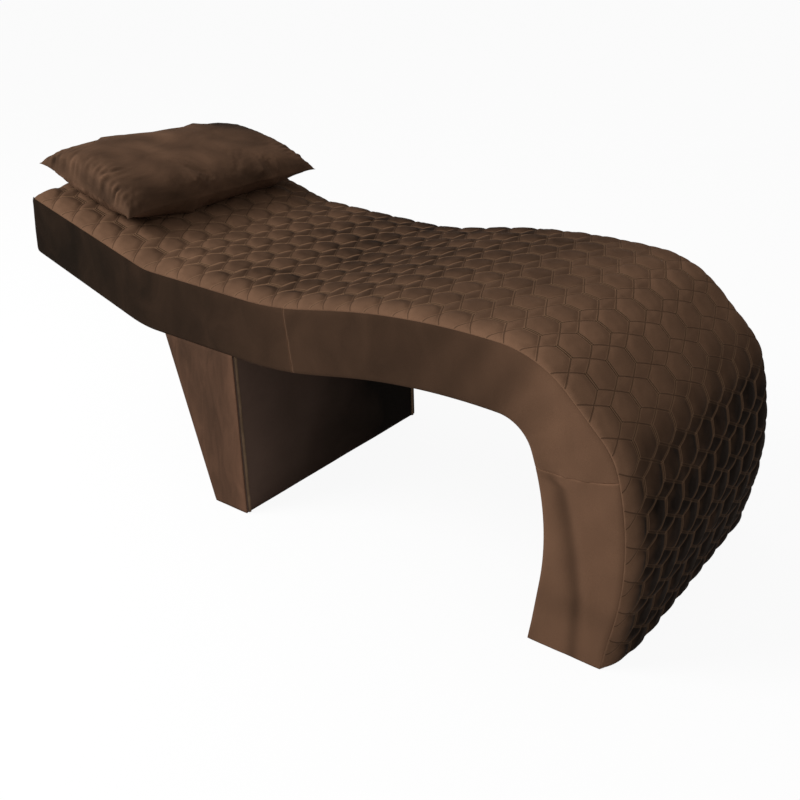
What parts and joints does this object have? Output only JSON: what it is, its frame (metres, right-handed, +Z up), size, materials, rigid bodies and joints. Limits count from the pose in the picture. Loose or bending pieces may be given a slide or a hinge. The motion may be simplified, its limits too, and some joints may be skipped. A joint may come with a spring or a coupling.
{
  "type": "beauty treatment bed",
  "caption": "Curved velvet treatment bed: a hexagon-quilted slab with a sloped head end turns down into its own leg, on a tapered pedestal, with a loose pillow.",
  "frame": {"origin": "middle of the bed's footprint on the floor, under the middle of the overall box", "axes": "+X from the head end to the foot, +Y across the bed to its far side, +Z up"},
  "size_m": [1.7478, 0.7, 0.7995],
  "materials": {
    "quilted_velvet": "matte",
    "side_velvet": "matte",
    "shaded_velvet": "matte",
    "pedestal_velvet": "matte",
    "pillow_velvet": "matte",
    "polyester_filling": "matte",
    "foam": "matte",
    "hardboard": "satin",
    "plywood": "matte",
    "pine": "matte",
    "zinc_steel": "satin",
    "zip_metal": "satin",
    "zip_tape": "matte",
    "glide_plastic": "matte"
  },
  "bodies": {
    "bed": {"quilted_top_cover": "quilted_velvet", "side_cover_near_head": "side_velvet", "side_cover_near_middle": "side_velvet", "side_cover_near_leg": "side_velvet", "side_cover_far_head": "side_velvet", "side_cover_far_middle": "side_velvet", "side_cover_far_leg": "side_velvet", "head_end_cover": "shaded_velvet", "underside_cover": "shaded_velvet", "leg_inner_cover": "shaded_velvet", "foam_head": "foam", "foam_seat": "foam", "foam_leg": "foam", "side_foam_near": "foam", "side_foam_far": "foam", "deck_board_bed": "hardboard", "deck_board_leg": "hardboard", "under_board_bed": "hardboard", "under_board_leg": "hardboard", "rib_near": "plywood", "rib_centre": "plywood", "rib_far": "plywood", "head_end_board": "plywood", "foot_end_board": "plywood", "head_rail": "pine", "seat_rail_head_side": "pine", "seat_rail_foot_side": "pine", "rise_rail": "pine", "knee_rail": "pine", "leg_rail": "pine", "frame_screws": "zinc_steel", "foot_glides": "glide_plastic", "pedestal_side_near": "plywood", "pedestal_side_far": "plywood", "pedestal_head_board": "plywood", "pedestal_foot_board": "plywood", "pedestal_base_board": "plywood", "pedestal_batten_head_side": "pine", "pedestal_batten_foot_side": "pine", "pedestal_cover_near": "pedestal_velvet", "pedestal_cover_far": "pedestal_velvet", "pedestal_cover_head_side": "pedestal_velvet", "pedestal_cover_foot_side": "pedestal_velvet", "pedestal_welt_near": "pedestal_velvet", "pedestal_welt_far": "pedestal_velvet", "pedestal_bolts": "zinc_steel", "pedestal_washers": "zinc_steel", "pedestal_t_nuts": "zinc_steel", "pedestal_glides": "glide_plastic"},
    "pillow": {"pillow_top_panel": "pillow_velvet", "pillow_under_panel": "pillow_velvet", "pillow_filling": "polyester_filling", "pillow_zip_tape": "zip_tape"},
    "zip_slider": {"pillow_zip_slider": "zip_metal"}
  },
  "joints": [
    {"name": "pillow_lift", "type": "slide", "parent": "bed", "child": "pillow", "axis": [0, 0, 1], "range_m": [0, 0.3]},
    {"name": "zip_slide", "type": "slide", "parent": "pillow", "child": "zip_slider", "axis": [0.0506, 0.9986, -0.0134], "range_m": [0, 0.34]}
  ]
}
